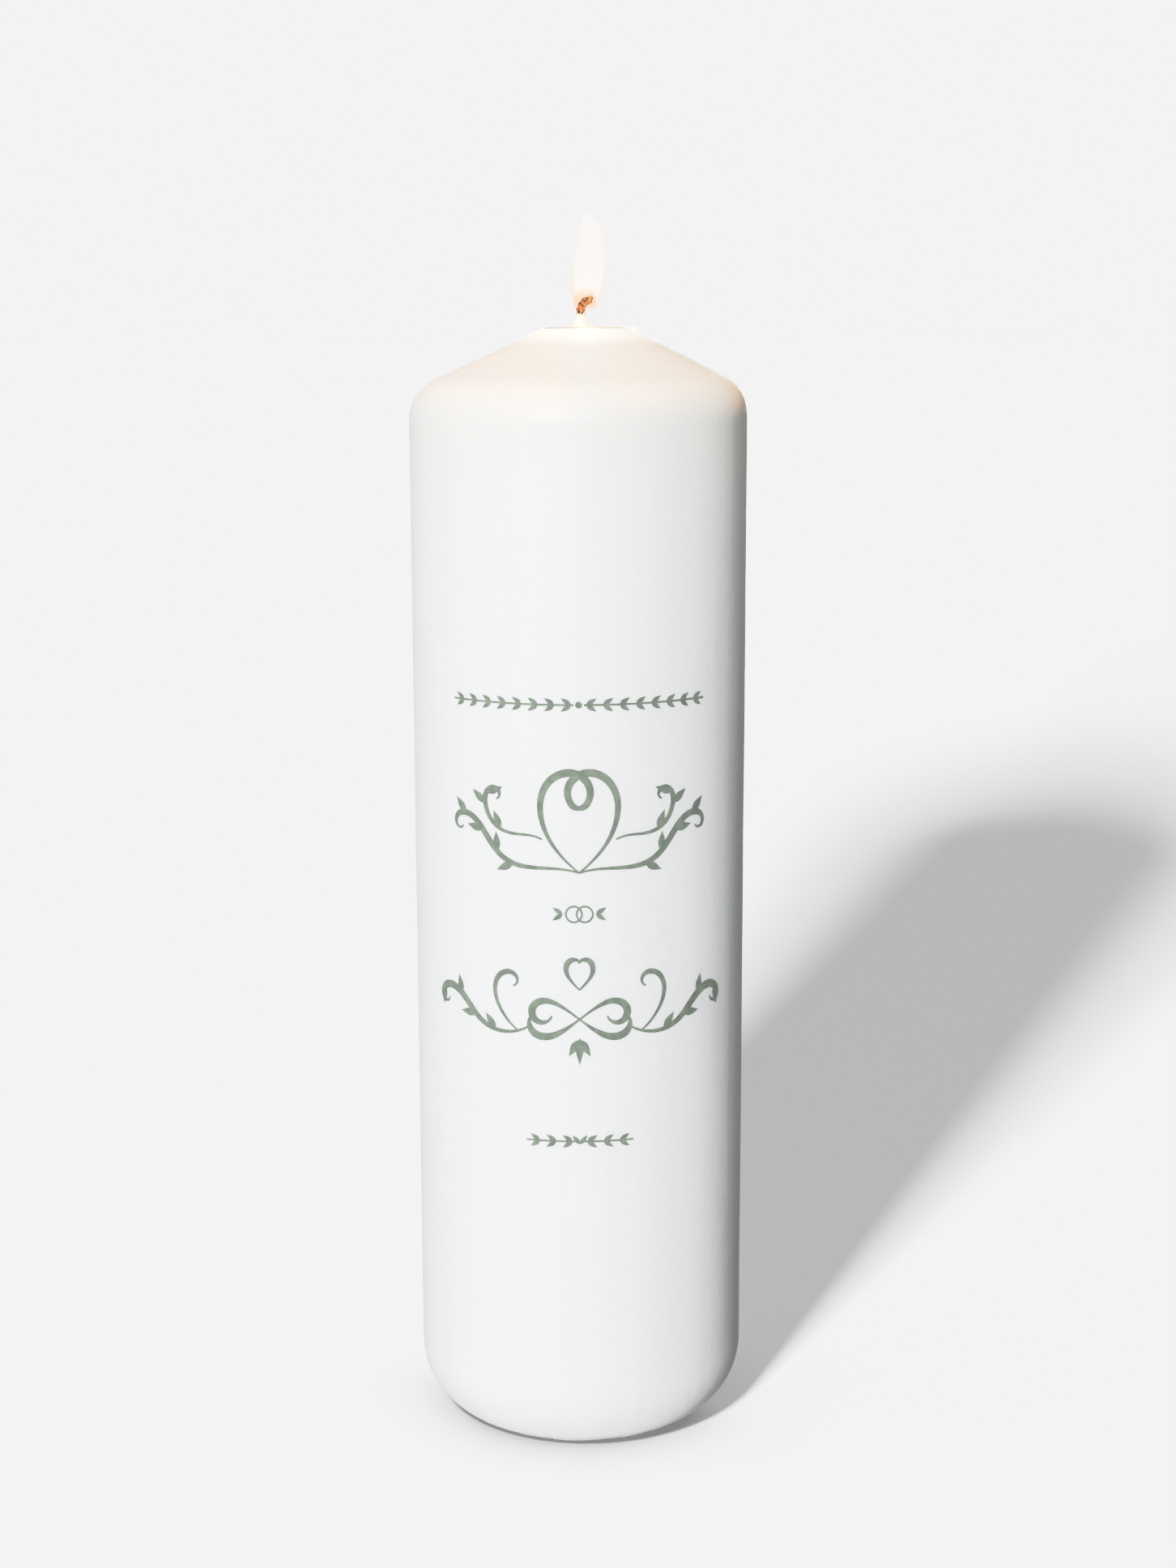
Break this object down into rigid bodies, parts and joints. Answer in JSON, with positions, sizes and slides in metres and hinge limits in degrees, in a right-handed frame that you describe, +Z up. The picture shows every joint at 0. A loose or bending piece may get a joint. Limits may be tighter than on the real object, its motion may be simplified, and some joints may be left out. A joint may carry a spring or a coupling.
{
  "type": "unity candle",
  "caption": "Tall white pillar candle with a trimmed cone top, a burning curled wick and printed leafy ornaments on its side.",
  "frame": {"origin": "centre of the base, on the surface that the candle stands on", "axes": "+Z up along the candle, -Y towards the printed front, +X to the right seen from the front"},
  "size_m": [0.075, 0.0751, 0.2746],
  "materials": {
    "core_wax": "pressed wax, matt and slightly grainy",
    "dip_wax": "hard white dip wax, satin, slightly translucent",
    "liquid_wax": "liquid wax, wet gloss",
    "waxed_cotton": "braided cotton soaked in wax",
    "charred_cotton": "charred braid, glowing orange brown",
    "tinned_steel": "stamped tinned sheet",
    "print_ink": "sage green print, matt",
    "flame_glow": "burning gas"
  },
  "bodies": {
    "root": {"wax_core": "core_wax", "overdip_coat": "dip_wax", "wick": "waxed_cotton", "wick_tip": "charred_cotton", "wick_tab": "tinned_steel", "melt_pool": "liquid_wax", "border_top": "print_ink", "flourish_upper": "print_ink", "rings_mark": "print_ink", "flourish_lower": "print_ink", "border_bottom": "print_ink", "flame": "flame_glow"}
  },
  "joints": []
}
